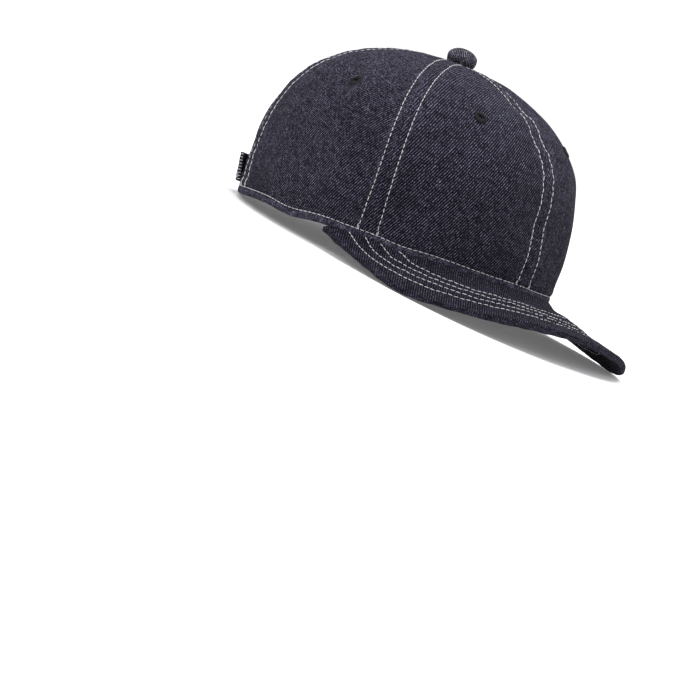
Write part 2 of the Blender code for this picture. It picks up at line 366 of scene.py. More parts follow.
# %% The twill group
def build_twill():
    colour, number = "NodeSocketColor", "NodeSocketFloat"
    group, start, end = new_group(
        "twill_weave",
        [("Cloth", "NodeSocketVector", None), ("Face Thread", colour, None),
         ("Other Thread", colour, None), ("Worn", colour, None), ("Wear", number, 0.0),
         ("Streaks", number, 0.2)],
        [("Color", colour), ("Height", number), ("Roughness", number)])
    w = Wires(group)
    cloth, wear_and_shading = start.outputs["Cloth"], start.outputs["Wear"]
    parts = w.node("ShaderNodeSeparateXYZ", Vector=cloth)
    sway = w.times(w.minus(w.noise(cloth, 260.0), 0.5), THREAD_SWAY)
    x = w.math("DIVIDE", w.plus(parts.outputs[0], sway), THREAD_PITCH)
    y = w.math("DIVIDE", w.plus(parts.outputs[1], sway), PICK_PITCH)
    end_number, pick_number = w.math("FLOOR", x), w.math("FLOOR", y)
    across, along = w.math("FRACT", x), w.math("FRACT", y)
    place = w.math("FLOORED_MODULO", w.minus(end_number, pick_number), 4.0)
    other_up = w.math("LESS_THAN", place, 0.5)

    def dome(value):
        return w.math("SINE", w.times(value, pi), clamp=True)

    along_float = w.math("DIVIDE", w.plus(w.minus(3.0, place), along), 3.0)
    float_height = w.times(dome(across), w.span(dome(along_float), 0.0, 1.0, 0.45, 1.0))
    dot_height = w.times(w.times(dome(along), dome(across)), 0.62)
    height = w.node("ShaderNodeMix", Factor=other_up, A=float_height, B=dot_height)
    height = height.outputs["Result"]

    each = w.node("ShaderNodeCombineXYZ", X=end_number, Y=pick_number)
    speck = w.node("ShaderNodeTexWhiteNoise", Vector=each.outputs[0]).outputs["Value"]
    thread = w.node("ShaderNodeCombineXYZ", X=w.times(end_number, 3.7),
                    Y=w.times(parts.outputs[1], 60.0))
    slub = w.noise(thread.outputs[0], 1.0)
    slant = w.node("ShaderNodeCombineXYZ", X=w.times(w.minus(x, y), 0.90),
                   Y=w.times(w.plus(x, y), 0.30))
    grain = w.noise(slant.outputs[0], 1.0)
    mottle = w.noise(cloth, 210.0, 3.0)
    soft = w.noise(cloth, 30.0)
    streak = w.times(w.minus(slub, 0.5), start.outputs["Streaks"])
    tone = w.plus(w.span(speck, 0, 1, 0.35, 1.65), w.times(streak, 4.5))
    tone = w.times(tone, w.span(grain, 0.36, 0.66, 0.12, 2.05))
    tone = w.times(tone, w.span(mottle, 0.3, 0.7, 0.66, 1.34))
    tone = w.times(tone, w.span(soft, 0.25, 0.75, 0.86, 1.14))
    # Painted shade: the low parts of the weave are darker, as the shade between threads.
    shade = w.times(tone, w.span(height, 0.0, 0.8, 0.35, 1.12))
    # Painted shade: the cloth is darker where the attribute of rubbing and shading is below zero.
    shade = w.times(shade, w.plus(w.math("MINIMUM", wear_and_shading, 0.0), 1.0))

    yarn = w.mix(other_up, start.outputs["Face Thread"], start.outputs["Other Thread"])
    # Paler towards the rubbed colour: real wear at edges, and painted light where the crown is lit.
    worn_and_lit_share = w.math("MULTIPLY", wear_and_shading, w.span(mottle, 0.3, 0.7, 0.3, 1.2), clamp=True)
    yarn = w.mix(worn_and_lit_share, yarn, start.outputs["Worn"])
    fuzz = w.noise(cloth, 3200.0)
    w.fill(end, Color=w.shade(yarn, shade), Height=w.plus(height, w.times(fuzz, 0.35)),
           Roughness=w.span(height, 0.0, 1.0, 0.95, 0.74))
    return group


twill = build_twill()
print("twill nodes", len(twill.nodes))

# %% [markdown]
# ## Finishes of the denim
# The crown, the brim, the button and the wrong side are one weave with other threads:
# the wrong side of a twill shows mostly pale weft, and the brim's threads are darker as
# painted shade. One function makes all four from the same group, so a change to the
# weave reaches every piece.

# %% Denim from the twill group
def new_material(name):
    """A material, the wires of its tree and its Principled shader."""
    made = bpy.data.materials.new(name)
    made.use_nodes = True
    return made, Wires(made.node_tree), made.node_tree.nodes["Principled BSDF"]


def twill_material(name, face, other, worn_and_lit, streaks):
    """Twill cloth that reads the piece's UV map and its attribute of rubbed paling, painted shade
    and painted light.
    """
    made, w, shader = new_material(name)
    wear_and_shading = w.node("ShaderNodeAttribute")
    wear_and_shading.attribute_name = "wear_and_shading"
    weave = w.node("ShaderNodeGroup")
    weave.node_tree = twill
    w.fill(weave, Cloth=w.cloth_place(), Face_Thread=(*face, 1.0), Other_Thread=(*other, 1.0),
           Worn=(*worn_and_lit, 1.0), Wear=wear_and_shading.outputs["Fac"], Streaks=streaks)
    bump = w.node(
        "ShaderNodeBump", Height=weave.outputs["Height"], Distance=TWILL_BUMP, Strength=1.0)
    w.fill(shader, Base_Color=weave.outputs["Color"], Roughness=weave.outputs["Roughness"],
           Normal=bump.outputs[0], Specular_IOR_Level=0.03, Sheen_Weight=0.01,
           Sheen_Roughness=0.5)
    return made


INDIGO = (0.0066, 0.0059, 0.0136)
PALE_WEFT = (0.168, 0.160, 0.222)
# This pale colour serves rubbed cloth and also the painted light on the lit parts of the crown.
WORN_AND_LIT_INDIGO = (0.105, 0.101, 0.148)
denim = twill_material("denim", INDIGO, PALE_WEFT, WORN_AND_LIT_INDIGO, 0.22)
# Painted shade: the brim's copy of the denim has darker threads, so the brim, facing the top light,
# reads darker.
denim_brim_shaded = twill_material(
    "denim_brim_shaded", (0.0044, 0.0039, 0.0094), (0.092, 0.088, 0.122), WORN_AND_LIT_INDIGO, 0.22)
denim_button = twill_material(
    "denim_button", (0.0065, 0.0060, 0.0122), (0.37, 0.36, 0.43), (0.135, 0.131, 0.170), 0.3)
denim_reverse = twill_material(
    "denim_reverse", (0.30, 0.30, 0.35), (0.045, 0.043, 0.065), (0.34, 0.34, 0.38), 0.15)
print("cloth:", [m.name for m in (denim, denim_brim_shaded, denim_button, denim_reverse)])

# %% [markdown]
# ## Thread and metal
# Sewing thread is two plies twisted round each other, which show as slanted ridges, so
# a sine across the thread's own UV map gives them. The wire of the slide is plated: it
# is brushed, with a dull film in patches, and both come from noise at two scales.

# %% Thread and metal materials
PLATING = (0.62, 0.56, 0.44)


def thread_material(name, colour, twist_height):
    made, w, shader = new_material(name)
    parts = w.node("ShaderNodeSeparateXYZ", Vector=w.cloth_place())
    turns = w.plus(w.times(parts.outputs[0], 2.0), w.times(parts.outputs[1], 7.0))
    ply = w.span(w.math("SINE", w.times(turns, tau)), -1, 1, 0, 1)
    place = w.node("ShaderNodeTexCoord").outputs["Object"]
    fibre = w.noise(place, 5200.0)
    patch = w.noise(place, 320.0)
    # Painted shade: the grooves between the plies are darker.
    tone = w.times(w.span(ply, 0, 1, 0.72, 1.05), w.span(patch, 0.3, 0.7, 0.86, 1.08))
    height = w.plus(ply, w.times(fibre, 0.5))
    bump = w.node("ShaderNodeBump", Height=height, Distance=twist_height, Strength=0.8)
    w.fill(shader, Base_Color=w.shade(colour, tone), Normal=bump.outputs[0],
           Roughness=w.span(fibre, 0.3, 0.7, 0.6, 0.75), Specular_IOR_Level=0.2)
    return made


def metal_material(name, colour):
    made, w, shader = new_material(name)
    place = w.node("ShaderNodeTexCoord").outputs["Object"]
    film = w.noise(place, 240.0, 4.0)
    scratch = w.noise(place, 3000.0)
    dull = (*[c * 0.7 for c in colour], 1.0)
    bump = w.node("ShaderNodeBump", Height=scratch, Distance=0.00002, Strength=0.6)
    w.fill(shader, Base_Color=w.mix(w.span(film, 0.35, 0.65, 0, 1), dull, (*colour, 1.0)),
           Roughness=w.span(film, 0.3, 0.7, 0.24, 0.42), Normal=bump.outputs[0], Metallic=1.0)
    return made


white_thread = thread_material("white_thread", (0.86, 0.86, 0.87), 0.00005)
dark_thread = thread_material("dark_thread", (0.0085, 0.0083, 0.0100), 0.00006)
wire_metal = metal_material("wire_metal", PLATING)
print("made:", white_thread.name, dark_thread.name, wire_metal.name)

# %% [markdown]
# ## Camera
# The camera looks at the cap from its right front, close to the height of the rim, and
# is rolled by about twenty degrees to the rim. Its place was fitted to the outline of
# the crown and to the seams, so it is given as an angle round the cap, a distance and a
# roll, and the lens as the size of a pixel on the cap.

# %% Camera
VIEW_AROUND, VIEW_ABOVE, VIEW_ROLL = radians(-50.0), radians(0.273), radians(19.9)
VIEW_DISTANCE = 2.058954
FRAME_PIXELS = 700
PIXEL_ON_CAP = 0.00055951
RIM_CENTRE_SEEN = (393.295, 248.896)
SENSOR = 36.0

camera_data = bpy.data.cameras.new("camera")
camera = bpy.data.objects.new("camera", camera_data)
bpy.context.scene.collection.objects.link(camera)
bpy.context.scene.camera = camera
towards = Vector((
    sin(VIEW_AROUND) * cos(VIEW_ABOVE), -cos(VIEW_AROUND) * cos(VIEW_ABOVE), sin(VIEW_ABOVE)))
level = Vector((cos(VIEW_AROUND), sin(VIEW_AROUND), 0))
upright = towards.cross(level)
right = level * cos(VIEW_ROLL) + upright * sin(VIEW_ROLL)
top = upright * cos(VIEW_ROLL) - level * sin(VIEW_ROLL)
turned = Matrix((right, top, towards)).transposed().to_4x4()
camera.matrix_world = REST @ Matrix.Translation(towards * VIEW_DISTANCE) @ turned
camera_data.sensor_width = SENSOR
camera_data.lens = VIEW_DISTANCE / PIXEL_ON_CAP / FRAME_PIXELS * SENSOR
camera_data.shift_x = -(RIM_CENTRE_SEEN[0] - FRAME_PIXELS / 2) / FRAME_PIXELS
camera_data.shift_y = (RIM_CENTRE_SEEN[1] - FRAME_PIXELS / 2) / FRAME_PIXELS
camera_data.clip_end = 20.0
print("lens", round(camera_data.lens, 1), "height", round(camera.matrix_world.translation.z, 3))

# %% [markdown]
# ## Floor and light
# A cove is a floor that curves up into the backdrop, so no horizon shows. Large, soft
# area lights and a pale surround give the even light of a studio. All are placed by how
# far they stand away from the camera's side of the cap and sideways of it.

# %% Cove
COVE_WIDTH, COVE_BEND, COVE_HEIGHT = 7.0, 1.0, 5.0
COVE_BACK, COVE_FRONT = 2.2, 3.2
away = -Vector((towards.x, towards.y, 0)).normalized()
sideways = Vector((away.y, -away.x, 0))


def build_cove():
    """Cross-section from the floor to the wall, swept sideways; it faces the camera."""
    angles = np.linspace(0, pi / 2, 16)
    section = [(-COVE_FRONT, 0.0)] + [
        (COVE_BACK + COVE_BEND * sin(a), COVE_BEND * (1 - cos(a))) for a in angles]
    section.append((COVE_BACK + COVE_BEND, COVE_HEIGHT))
    deselect()
    bpy.ops.mesh.primitive_grid_add(x_subdivisions=1, y_subdivisions=len(section) - 1, size=1)
    cove = bpy.context.object
    for vertex in cove.data.vertices:
        side = round(vertex.co.x + 0.5) - 0.5
        distance, height = section[round((vertex.co.y + 0.5) * (len(section) - 1))]
        place = away * distance + sideways * side * COVE_WIDTH
        vertex.co = (place.x, place.y, height)
    cove.data.shade_smooth()
    return cove


def cove_material():
    made, w, shader = new_material("cove_paint")
    grain = w.noise(w.node("ShaderNodeTexCoord").outputs["Object"], 3.0)
    w.fill(shader, Base_Color=w.mix(grain, (0.86, 0.86, 0.86, 1), (0.88, 0.88, 0.88, 1)),
           Roughness=0.9, Specular_IOR_Level=0.1, Emission_Color=(1.0, 1.0, 1.0, 1.0),
           Emission_Strength=0.12)
    return made


cove = name_piece(build_cove(), "cove", cove_material())
print("cove faces", len(cove.data.polygons))

# %% Lights
#    name          sideways  away  height  width  power
SOFTBOXES = (
    ("top_light", 0.0, 0.1, 1.9, 1.6, 44.0),
    ("left_light", -1.9, -0.6, 1.3, 1.1, 16.0),
    ("right_light", 1.8, 0.3, 1.0, 1.0, 5.0),
    ("low_light", 1.3, -0.8, 0.25, 0.5, 1.2),
)
LIT_POINT = Vector((0, 0, 0.06))

scene = bpy.context.scene
scene.view_settings.view_transform = "Standard"
world = bpy.data.worlds.new("surround")
world.use_nodes = True
world.node_tree.nodes["Background"].inputs["Color"].default_value = (0.97, 0.98, 1.0, 1.0)
world.node_tree.nodes["Background"].inputs["Strength"].default_value = 0.75
scene.world = world

for name, side, back, height, width, power in SOFTBOXES:
    data = bpy.data.lights.new(name, "AREA")
    data.shape = "DISK"
    data.size = width
    data.energy = power
    light = bpy.data.objects.new(name, data)
    scene.collection.objects.link(light)
    light.location = sideways * side + away * back + Vector((0, 0, height))
    light.rotation_euler = (LIT_POINT - light.location).to_track_quat("-Z", "Y").to_euler()
print("softboxes", len(SOFTBOXES))

# %% [markdown]
# ## Relief of the sewn crown
# What makes a sewn crown look sewn is low relief. At a seam both panels roll inwards,
# their allowances lie open underneath and lift a strip on each side, a row of stitches
# pulls each strip down, and the cloth between puckers. At the rim the cloth is folded
# up into a hem, which a row of stitches closes and which twists a little like a rope.
# One function gives the height of all this at any place of the crown, so the stitches
# can be laid on it afterwards.

# %% Relief
HALF_GAP = 0.00001
EDGE_ROLL = 0.0006
STITCH_OFFSET = 0.0045
ALLOWANCE = 0.0058
HEM_ROW = 0.0044
HEM_LEG = 0.0082
HEM_FOLD = 0.0015
SEAM_LIFT, SEAM_ROW_DEPTH, PUCKER, STRIP_WAVE = 0.00026, 0.00034, 0.000186, 0.00016
HEM_SWELL, HEM_ROW_DEPTH, HEM_LEG_LIFT = 0.00035, 0.00042, 0.00022
ROPE, ROPE_PITCH, HEM_TUG = 0.00011, 0.0046, 0.00022
LONG_WAVE, SHORT_WAVE = 0.00055, 0.00022
EYELET_DIP, BUTTON_DIP = 0.00042, 0.0006
#            turn  height
EYELETS = ((33.5, 0.0835), (91.2, 0.0798), (151.0, 0.0815))
OPENING_HALF_WIDTH = 0.0375
OPENING_HEIGHT = 0.0480
BUTTON_RADIUS = 0.0086

#    turn   rise   height   spread
DENTS = (
    (0.0, 50.0, -0.0021, 0.0085), (0.0, 20.0, -0.0020, 0.0090), (0.0, 36.0, 0.0010, 0.0100),
    (0.0, 9.0, 0.0008, 0.0080), (-14.0, 66.0, -0.0015, 0.0200), (4.0, 63.0, -0.0016, 0.0125),
    (52.0, 10.0, -0.0015, 0.0120), (118.0, 7.0, -0.0010, 0.0140), (20.0, 47.0, -0.0009, 0.0150),
    (24.0, 18.0, -0.0009, 0.0180), (62.7, 8.0, 0.0009, 0.0140), (140.0, 41.0, 0.0017, 0.0190),
    (140.0, 14.0, -0.0013, 0.0140), (80.0, 24.0, 0.0008, 0.0220), (-28.0, 30.0, -0.0008, 0.0200),
    (-95.0, 20.0, -0.0009, 0.0220), (-60.0, 45.0, -0.0006, 0.0180), (150.0, 40.0, -0.0007, 0.0200),
)
# Patches of painted shade, darker where the cloth faces away from the light; a negative value
# paints a paler patch of light.
#    turn   rise  darker  spread
PAINTED_SHADING_PATCHES = (
    (58.0, 15.0, 0.38, 0.0120), (66.0, 6.0, 0.25, 0.0100), (-24.0, 16.0, 0.34, 0.0360),
    (20.0, 14.0, 0.12, 0.0300), (116.0, 4.0, 0.35, 0.0160), (52.0, 40.0, -0.056, 0.0160),
    (12.0, 58.0, -0.077, 0.0150), (28.0, 44.0, -0.042, 0.0180),
)
#    turn   drop   spread in degrees
RIM_DROPS = (
    (94.0, 0.0020, 9.0), (50.0, 0.0012, 8.0), (70.0, 0.0003, 5.0), (2.0, -0.0005, 9.0),
    (-66.0, 0.0011, 9.0), (-112.0, 0.0014, 10.0),
)


def wrapped(turn):
    """The same turn, between -pi and pi."""
    return np.angle(np.exp(1j * turn))


def seam_distance(rise, turn):
    """Distance to the nearest seam and that seam's number."""
    nearest = np.full(np.shape(turn), 1.0)
    number = np.zeros(np.shape(turn), int)
    for i, seam in enumerate(SEAMS):
        gap = wrapped(turn - seam)
        distance = np.abs(gap) * turn_speed(rise, seam + gap / 2)
        closer = distance < nearest
        nearest = np.where(closer, distance, nearest)
        number = np.where(closer, i, number)
    return nearest, number


def spot(place, rise, turn, spread, ring=0.0):
    """1 on a ring round a point of the crown, falling to 0 away from it."""
    return hump(np.linalg.norm(place - crown_point(rise, turn), axis=-1), ring, spread)


def relief(rise, turn):
    """Height of the sewn cloth over the smooth crown, and the paling of its rubbed edges together
    with painted shade and light.
    """
    distance, number = seam_distance(rise, turn)
    height = CROWN_HEIGHT * np.sin(rise)
    up, round_rim = rise * 0.105, wrapped(turn) * 0.092
    inside = np.clip(EDGE_ROLL - (distance - HALF_GAP), 0, EDGE_ROLL)
    rolled = EDGE_ROLL - np.sqrt(np.maximum(EDGE_ROLL**2 - inside**2, 0))
    lifted = SEAM_LIFT * (1 - smooth_step(ALLOWANCE - 0.0006, ALLOWANCE + 0.0009, distance))
    stitched = SEAM_ROW_DEPTH * hump(distance, STITCH_OFFSET, 0.0007)
    drawn = ripples(up, number * 0.31, 0.0052, 11) + ripples(up, distance * 0.5, 0.0095, 12)
    pucker = PUCKER * drawn * hump(distance, 0.0026, 0.0034)
    strip = STRIP_WAVE * ripples(up, distance * 0.6, 0.0034, 14) * hump(distance, 0.0024, 0.0018)
    seamed = lifted - stitched + pucker + strip - rolled

    hem = HEM_SWELL * np.clip(1 - (height / HEM_ROW - 0.5) ** 2 * 4, 0, 1)
    hem = hem - HEM_ROW_DEPTH * hump(height, HEM_ROW, 0.0006)
    hem = hem + HEM_LEG_LIFT * (1 - smooth_step(HEM_LEG - 0.0004, HEM_LEG + 0.0012, height))
    slant = round_rim + 0.75 * height + 0.0012 * ripples(round_rim, 0.0, 0.02, 21)
    rope = ROPE * np.sin(slant * tau / ROPE_PITCH) * hump(height, 0.0022, 0.0019)
    tug = HEM_TUG * ripples(round_rim, height * 0.4, 0.0075, 22) * hump(height, 0.0062, 0.0048)

    soft = LONG_WAVE * ripples(round_rim, up, 0.046, 31)
    soft = soft + SHORT_WAVE * ripples(round_rim, up, 0.019, 32)
    soft = soft * smooth_step(0.0, 0.014, distance) * smooth_step(0.0, 0.03, height + 0.006)
    total = seamed + hem + rope + tug + soft
    place = crown_point(rise, turn)
    for dent_turn, dent_rise, depth, spread in DENTS:
        total = total + depth * spot(place, radians(dent_rise), radians(dent_turn), spread)
    for eyelet_turn, eyelet_height in EYELETS:
        for side in (1, -1):
            total = total - EYELET_DIP * spot(
                place, rise_at(eyelet_height), radians(eyelet_turn) * side, 0.0026, 0.0030)
    radius = np.linalg.norm(place[..., :2], axis=-1)
    total = total - BUTTON_DIP * hump(radius, 0.0060, 0.0040) * (height > 0.08)

    wear_and_shading = 0.22 * hump(distance, 0.0008, 0.0006)
    wear_and_shading = wear_and_shading + 0.25 * hump(distance, ALLOWANCE - 0.0002, 0.0008)
    wear_and_shading = wear_and_shading + 0.25 * hump(height, 0.0006, 0.0016) + 0.45 * hump(height, 0.0030, 0.0010)
    # The last term is painted light: the crown is paler towards its top, where the top light falls.
    wear_and_shading = wear_and_shading + 0.45 * np.clip(rope / ROPE, 0, 1) + 0.11 * smooth_step(0.065, 0.105, height)
    wear_and_shading = np.clip(wear_and_shading, 0, 1)
    # Painted shade and light: the listed patches darken the cloth, and pale it where the value is
    # negative.
    for patch_turn, patch_rise, darker, spread in PAINTED_SHADING_PATCHES:
        wear_and_shading = wear_and_shading - darker * spot(place, radians(patch_rise), radians(patch_turn), spread)
    return total, np.clip(wear_and_shading, -0.8, 1)


def rim_drop(turn):
    """How far the rim sags, in waves round the head."""
    degrees_round = np.degrees(wrapped(turn))
    return sum(drop * hump(degrees_round, centre, spread) for centre, drop, spread in RIM_DROPS)


def sewn_point(rise, turn, lift=0.0):
    """Points on the sewn cloth, its outward directions, and the paling of rubbed cloth together
    with painted shade and light.
    """
    point = crown_point(rise, turn)
    _, up, out = crown_axes(rise, turn)
    height, wear_and_shading = relief(rise, turn)
    sag = rim_drop(turn) * np.exp(-((point[..., 2] / 0.020) ** 2))
    point = point + out * (height + lift)[..., None] - up * sag[..., None]
    return point, out, wear_and_shading


print("relief at a seam edge and beside it:", np.round(
    relief(np.full(3, 0.5), radians(FIRST_SEAM) + np.array([0.001, 0.02, 0.1]))[0] * 1000, 2))

# %% [markdown]
# ## The six panels
# Each panel is one sheet. Its columns stand close together near the seams, where the
# relief is fine, and its first rows are the hem's inner leg and the fold at the rim.
# The rows then climb to the hole under the button. The UV map holds the distance from
# the panel's centre line and the length up from the rim, so the warp runs up the middle
# of the panel as in a cut piece. Solidify gives the cloth its thickness and its paler
# wrong side. Simulated cloth would sag here; a cap's panels are stiffened and sewn
# tight, so their relief is shaped directly.

# %% Grid of a panel
SEAM_COLUMNS = np.array([
    0.0, 0.00007, 0.0002, 0.00042, 0.0007, 0.0010, 0.0014, 0.0019, 0.0024, 0.0029, 0.0033,
    0.0037, 0.0040, 0.0043, 0.0046, 0.0049, 0.0052, 0.0055, 0.0059, 0.0064, 0.0070, 0.0078])
NARROW_HALF = 0.0095
MIDDLE_COLUMNS = 80
FOLD_ROWS, HEM_ROWS, BODY_ROWS = 9, 22, 138
HEM_TOP = 0.0096


def top_rise(turn):
    """Rise at which the crown closes to the hole under the button."""
    low, high = np.full(np.shape(turn), radians(45)), np.full(np.shape(turn), pi / 2)
    for _ in range(40):
        middle = (low + high) / 2
        wide = np.linalg.norm(crown_point(middle, turn)[..., :2], axis=-1) > TOP_HOLE
        low, high = np.where(wide, middle, low), np.where(wide, high, middle)
    return (low + high) / 2


def panel_rows():
    """For each row: its rise, its share of the way on to the top, and the fold's angle."""
    leg = [(rise_at(z), 0.0, pi) for z in np.linspace(HEM_LEG, HEM_FOLD + 0.0008, 7)]
    fold = [(rise_at(HEM_FOLD), 0.0, pi * (1 - i / (FOLD_ROWS + 1)))
            for i in range(FOLD_ROWS + 2)]
    low = [(rise_at(z), 0.0, 0.0) for z in np.linspace(HEM_FOLD + 0.00035, HEM_TOP, HEM_ROWS)]
    body = [(rise_at(HEM_TOP), (i + 1) / BODY_ROWS, 0.0) for i in range(BODY_ROWS)]
    return leg + fold + low + body


def panel_grid(first, last):
    """Points, cloth coordinates, and rubbed paling with painted shade and light of a panel
    between two turns, its columns in the direction of falling turn so that the faces point out."""
    rows = panel_rows()
    fine = np.linspace(last, first, 241)
    closing = top_rise(fine)
    rises, turns, widths, folds = [], [], [], []
    for base, share, fold in rows:
        rise = base + (closing - base) * share
        length = running_length(crown_point(rise, fine))
        half = length[-1] / 2
        near = HALF_GAP + SEAM_COLUMNS * min(1.0, half / NARROW_HALF)
        middle = np.linspace(near[-1], half, MIDDLE_COLUMNS // 2 + 1)[1:]
        left = np.concatenate([near, middle])
        places = np.concatenate([left, length[-1] - left[::-1][1:]])
        turns.append(np.interp(places, length, fine))
        rises.append(np.interp(places, length, rise))
        widths.append(places - half)
        folds.append(np.full(len(places), fold))
    rises, turns, widths, folds = (np.array(a) for a in (rises, turns, widths, folds))
    point, out, wear_and_shading = sewn_point(rises, turns)
    _, up, _ = crown_axes(rises, turns)
    inward = HEM_FOLD * (1 - np.cos(folds)) + 0.0004 * (folds > 3.0)
    point = point - out * inward[..., None] - up * (HEM_FOLD * np.sin(folds))[..., None]
    upward = running_length(point)
    upward = upward - upward[len(rows) - BODY_ROWS - HEM_ROWS]
    middle_up = upward[:, upward.shape[1] // 2][:, None]
    upward = middle_up + (upward - middle_up) * 0.5
    return point, np.stack([widths, upward], -1), wear_and_shading


def flat_size(points):
    """Width, length and area of a panel's cloth."""
    across = np.linalg.norm(np.diff(points, axis=1), axis=-1)
    along = np.linalg.norm(np.diff(points, axis=0), axis=-1)
    a, b = points[1:, 1:] - points[:-1, :-1], points[1:, :-1] - points[:-1, 1:]
    area = np.linalg.norm(np.cross(a, b), axis=-1).sum() / 2
    return float(across.sum(1).max()), float(along.sum(0).max()), float(area)


print("rows of a panel:", len(panel_rows()))

# %% [markdown]
# ## Holes in the panels
# Each panel has a hole for its eyelet, and the half-moon opening cuts the back pair. A
# boolean cut would leave long, thin faces round each hole. Here the faces whose centre
# lies inside are deleted before the cloth gets its thickness, because the eyelets and
# the binding cover the stepped edge that this leaves.

# %% Cut, sew and cover the panels
EYELET_HOLE = 0.0023
OPENING_TURN_IN = 0.0015
SIDES = ((1, "right"), (-1, "left"))


def in_opening(place, grow):
    if place.y < 0:
        return False
    across = place.x / (OPENING_HALF_WIDTH + grow)
    return across**2 + (place.z / (OPENING_HEIGHT + grow)) ** 2 < 1


for (part, (first, last)), (turn, height) in zip(PANELS.items(), EYELETS):
    for side, word in SIDES:
        name = f"panel_{part}_{word}"
        ends = (radians(first), radians(last)) if side > 0 else (-radians(last), -radians(first))
        points, uv, wear_and_shading = panel_grid(*ends)
        panel = cloth_grid(name + "_cloth", points, uv, wear_and_shading, denim, denim_reverse)
        eyelet = Vector(crown_point(rise_at(height), radians(turn) * side))
        remove_faces(panel, lambda c: (c - eyelet).length < EYELET_HOLE
                     or in_opening(c, OPENING_TURN_IN))
        give_thickness(panel, CLOTH)
        width, length, area = flat_size(points)
        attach(panel, "root")
        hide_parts(name)
        print(name, "cloth", round(width, 4), round(length, 4), round(area, 4),
              "faces", len(panel.data.polygons))

# %% [markdown]
# ## Stitches
# One stitch is a short, rounded piece of thread that rises out of the cloth and dives
# back. It is modelled once from a sphere and copied along every row, each copy turned
# along its row, with small seeded differences in length and angle, as a machine leaves.

# %% A stitch and the rows
STITCH_PITCH = 0.0033
STITCH_LENGTH = 0.0026
STITCH_WIDTH = 0.00037
STITCH_HEIGHT = 0.00046
STITCH_LEAN = 0.035


def stitch_shape():
    deselect()
    bpy.ops.mesh.primitive_uv_sphere_add(segments=8, ring_count=6, radius=1.0)
    ball = bpy.context.object
    x, y, z = vertex_places(ball.data).T
    faces = [tuple(p.vertices) for p in ball.data.polygons]
    bpy.data.objects.remove(ball)
    along = np.sign(z) * np.abs(z) ** 0.75
    return np.stack([along / 2, y / 2, x / 2], -1), faces, np.stack([np.arctan2(y, x) / tau, z], -1)


STITCH = stitch_shape()


def values_at(places, length, values):
    return np.stack([np.interp(places, length, values[:, k]) for k in range(3)], -1)


def spread(path, outs, pitch):
    """Even places along a path, with the forward and outward direction at each."""
    length = running_length(path)
    count = max(int(length[-1] / pitch), 1)
    at = (np.arange(count) + 0.5) * length[-1] / count
    ahead, behind = (values_at(at + step, length, path) for step in (0.0006, -0.0006))
    return values_at(at, length, path), unit(ahead - behind), unit(values_at(at, length, outs))


def stitch_rows(name, rows, seed, pitch=STITCH_PITCH, length=STITCH_LENGTH):
    """One mesh with a copy of the stitch at each place of each (path, outs) row."""
    shape, faces, twist = STITCH
    rng = np.random.default_rng(seed)
    points, all_faces = [], []
    for path, outs in rows:
        for place, forward, out in zip(*spread(path, outs, pitch)):
            lean = rng.normal(0, STITCH_LEAN)
            side = unit(np.cross(out, forward))
            forward = unit(forward + side * lean)
            side = unit(np.cross(out, forward))
            up = np.cross(forward, side)
            size = np.array([length * rng.uniform(0.93, 1.06), STITCH_WIDTH, STITCH_HEIGHT])
            copy = shape * size
            moved = copy[:, :1] * forward + copy[:, 1:2] * side + copy[:, 2:] * up
            start = len(points) * len(shape)
            points.append(moved + place)
            all_faces += [tuple(start + v for v in face) for face in faces]
    mesh = bpy.data.meshes.new(name)
    mesh.from_pydata(to_rest(np.concatenate(points)).tolist(), [], all_faces)
    set_uv(mesh, np.concatenate([twist] * len(points)))
    mesh.shade_smooth()
    piece = bpy.data.objects.new(name, mesh)
    scene.collection.objects.link(piece)
    mesh.materials.append(white_thread)
    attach(piece, "root")
    print(name, "stitches", len(points), "faces", len(all_faces))


print("one stitch:", len(STITCH[0]), "vertices,", len(STITCH[1]), "faces")

# %% [markdown]
# ## Rows on the crown
# A row on each side of a seam holds down the allowance, and shows on the inside too. A
# single row closes the hem. A beveled curve along a row would look like a cord, because
# it has no separate stitches. The places come from the relief's own function, so every
# stitch lies on the cloth.

# %% Rows on the crown
ROW_START = 0.0036
ROW_FLARE = 0.0009
BACKTACK_TOP = 0.0085
ROW_LIFT, BACKTACK_LIFT = 0.00008, 0.0003
ALLOWANCE_CLOTH = 0.0008
INNER_ROW_DEPTH = CLOTH + ALLOWANCE_CLOTH + 0.0002
RIM_ROW_POINTS = 900


def seam_row(seam, side, low, high, offset=STITCH_OFFSET, lift=ROW_LIFT):
    """Row beside a seam from one rise to another; near the top it keeps to its panel."""
    rises = np.linspace(low, high, 260)
    speed = turn_speed(rises, seam)
    gaps = [wrapped(s - seam) for s in SEAMS if s != seam]
    half = min(abs(gap) for gap in gaps if np.sign(gap) == side) / 2 * speed
    shift = np.minimum(offset + ROW_FLARE * hump(rises, 0.0, 0.25), half * 0.97)
    return sewn_point(rises, seam + side * shift / speed, lift)[:2]


rows = []
for i, seam in enumerate(SEAMS):
    low = rise_at(OPENING_HEIGHT + 0.0085 if i == BACK_SEAM else ROW_START)
    high = float(top_rise(np.array(seam))) - 0.022
    rows += [seam_row(seam, side, low, high) for side in (1, -1)]
    inner = [seam_row(seam, side, low + 0.04, high, lift=-INNER_ROW_DEPTH) for side in (1, -1)]
    rows += [(path, -outs) for path, outs in inner]
    if i != BACK_SEAM:
        rows += [seam_row(seam, side, low, rise_at(BACKTACK_TOP), STITCH_OFFSET + 0.0006,
                          BACKTACK_LIFT) for side in (1, -1)]
stitch_rows("seam_stitching", rows, 101)

